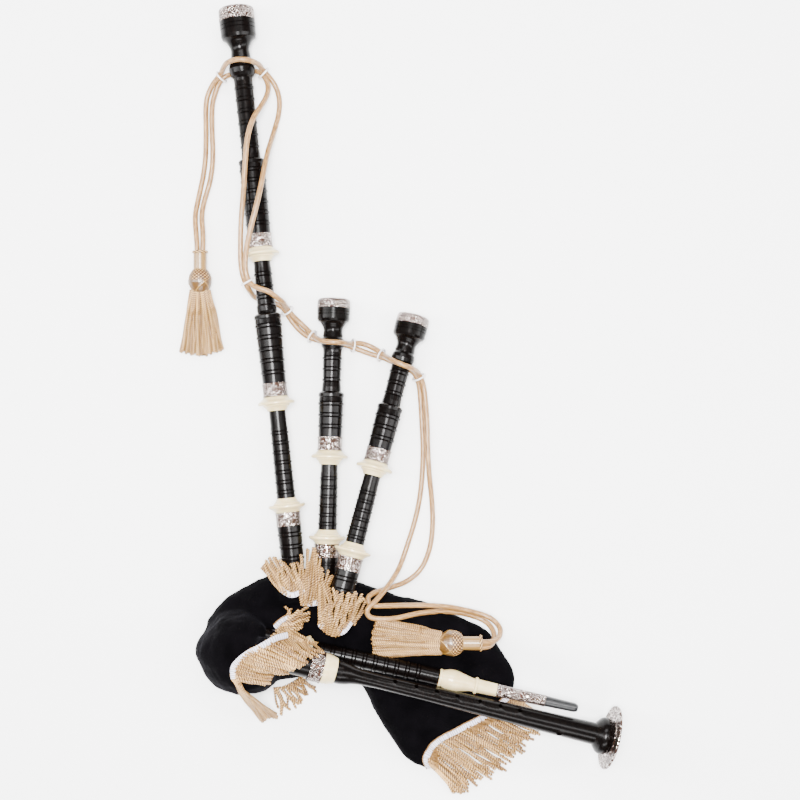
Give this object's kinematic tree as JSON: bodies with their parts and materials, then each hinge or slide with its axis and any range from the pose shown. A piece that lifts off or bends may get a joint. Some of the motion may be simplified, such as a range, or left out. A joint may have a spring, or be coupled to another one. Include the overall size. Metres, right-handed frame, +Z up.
{
  "type": "bagpipes",
  "caption": "Highland bagpipes lying flat: velvet-covered bag with drones on sliding tuning joints, chanter and blowpipe, draped with cords, rings, tassels and bullion fringes.",
  "frame": {"origin": "on the flat underside of the bag, on the surface it lies on, close to where the drones, chanter and blowpipe meet", "axes": "+Z up from the surface, +Y along the drones away from the bag, +X towards the chanter's sole"},
  "size_m": [0.5519, 0.9912, 0.1272],
  "materials": {
    "blackwood": "polished turned blackwood",
    "mount": "polished imitation ivory",
    "silver": "engraved silver",
    "hemp": "waxed yellow hemp",
    "cane": "natural cane",
    "bush": "polished imitation ivory",
    "sole": "engraved silver plate",
    "velvet": "black velvet",
    "hide": "seasoned hide",
    "binding": "waxed cord binding",
    "valve": "leather flap",
    "tip": "satin black",
    "fringe": "twisted gold bullion fringe",
    "cord": "champagne satin cord",
    "ring": "polished white",
    "tassel": "gold silk and twisted bullion"
  },
  "bodies": {
    "bag": {"bag": "hide", "bag_cover": "velvet", "bass_stock": "blackwood", "blowpipe_stock": "blackwood", "blowpipe_stock_mount": "mount", "chanter_stock": "blackwood", "chanter_stock_ferrule": "silver", "chanter_stock_mount": "mount", "cord_rings": "ring", "drone_cord_a": "cord", "drone_cord_b": "cord", "neck_fringe": "fringe", "rear_fringe": "fringe", "stock_ferrules": "silver", "stock_fringes": "fringe", "stock_mounts": "mount", "stock_ties": "binding", "tassel_left": "tassel", "tassel_right": "tassel", "tenor_a_stock": "blackwood", "tenor_b_stock": "blackwood"},
    "bass_bottom": {"bass_bottom_hemp": "hemp", "bass_bottom_joint": "blackwood", "bass_reed": "cane"},
    "bass_middle": {"bass_middle_ferrule": "silver", "bass_middle_hemp": "hemp", "bass_middle_joint": "blackwood", "bass_middle_mount": "mount"},
    "bass_top": {"bass_bell_ferrule": "silver", "bass_bush": "bush", "bass_top_ferrule": "silver", "bass_top_joint": "blackwood", "bass_top_mount": "mount"},
    "tenor_a_bottom": {"tenor_a_bottom_hemp": "hemp", "tenor_a_bottom_joint": "blackwood", "tenor_a_reed": "cane"},
    "tenor_a_top": {"tenor_a_bell_ferrule": "silver", "tenor_a_bush": "bush", "tenor_a_top_ferrule": "silver", "tenor_a_top_joint": "blackwood", "tenor_a_top_mount": "mount"},
    "tenor_b_bottom": {"tenor_b_bottom_hemp": "hemp", "tenor_b_bottom_joint": "blackwood", "tenor_b_reed": "cane"},
    "tenor_b_top": {"tenor_b_bell_ferrule": "silver", "tenor_b_bush": "bush", "tenor_b_top_ferrule": "silver", "tenor_b_top_joint": "blackwood", "tenor_b_top_mount": "mount"},
    "chanter": {"chanter": "blackwood", "chanter_hemp": "hemp", "chanter_reed": "cane", "sole": "sole"},
    "blowpipe": {"blowpipe": "blackwood", "blowpipe_hemp": "hemp"},
    "mouthpiece": {"mouthpiece_bulb": "mount", "mouthpiece_hemp": "hemp", "mouthpiece_sleeve": "silver", "mouthpiece_tip": "tip"},
    "valve": {"valve_flap": "valve"}
  },
  "joints": [
    {"name": "bass_twist", "type": "hinge", "parent": "bag", "child": "bass_bottom", "pos_m": [-0.0653, 0.1827, 0.042], "axis": [-0.1048, 0.994, -0.0312], "continuous": true},
    {"name": "bass_lower_tuning", "type": "slide", "parent": "bass_bottom", "child": "bass_middle", "axis": [-0.1048, 0.994, -0.0312], "range_m": [-0.018, 0.015]},
    {"name": "bass_upper_tuning", "type": "slide", "parent": "bass_middle", "child": "bass_top", "axis": [-0.1048, 0.994, -0.0312], "range_m": [-0.007, 0.015]},
    {"name": "tenor_a_twist", "type": "hinge", "parent": "bag", "child": "tenor_a_bottom", "pos_m": [-0.0143, 0.1429, 0.036], "axis": [0.026, 0.9983, -0.0523], "continuous": true},
    {"name": "tenor_a_tuning", "type": "slide", "parent": "tenor_a_bottom", "child": "tenor_a_top", "axis": [0.026, 0.9983, -0.0523], "range_m": [-0.009, 0.025]},
    {"name": "tenor_b_twist", "type": "hinge", "parent": "bag", "child": "tenor_b_bottom", "pos_m": [0.0202, 0.1278, 0.057], "axis": [0.2499, 0.9606, -0.1218], "continuous": true},
    {"name": "tenor_b_tuning", "type": "slide", "parent": "tenor_b_bottom", "child": "tenor_b_top", "axis": [0.2499, 0.9606, -0.1218], "range_m": [-0.014, 0.022]},
    {"name": "chanter_pull", "type": "slide", "parent": "bag", "child": "chanter", "axis": [0.9591, -0.2548, -0.1231], "range_m": [0, 0.028]},
    {"name": "blowpipe_pull", "type": "slide", "parent": "bag", "child": "blowpipe", "axis": [0.9746, -0.2223, -0.0269], "range_m": [0, 0.028]},
    {"name": "mouthpiece_pull", "type": "slide", "parent": "blowpipe", "child": "mouthpiece", "axis": [0.9746, -0.2223, -0.0269], "range_m": [0, 0.02]},
    {"name": "valve_swing", "type": "hinge", "parent": "bag", "child": "valve", "pos_m": [-0.11849, 0.01778, 0.07198], "axis": [0.2224, 0.975, 0], "range_deg": [0, 50]}
  ]
}
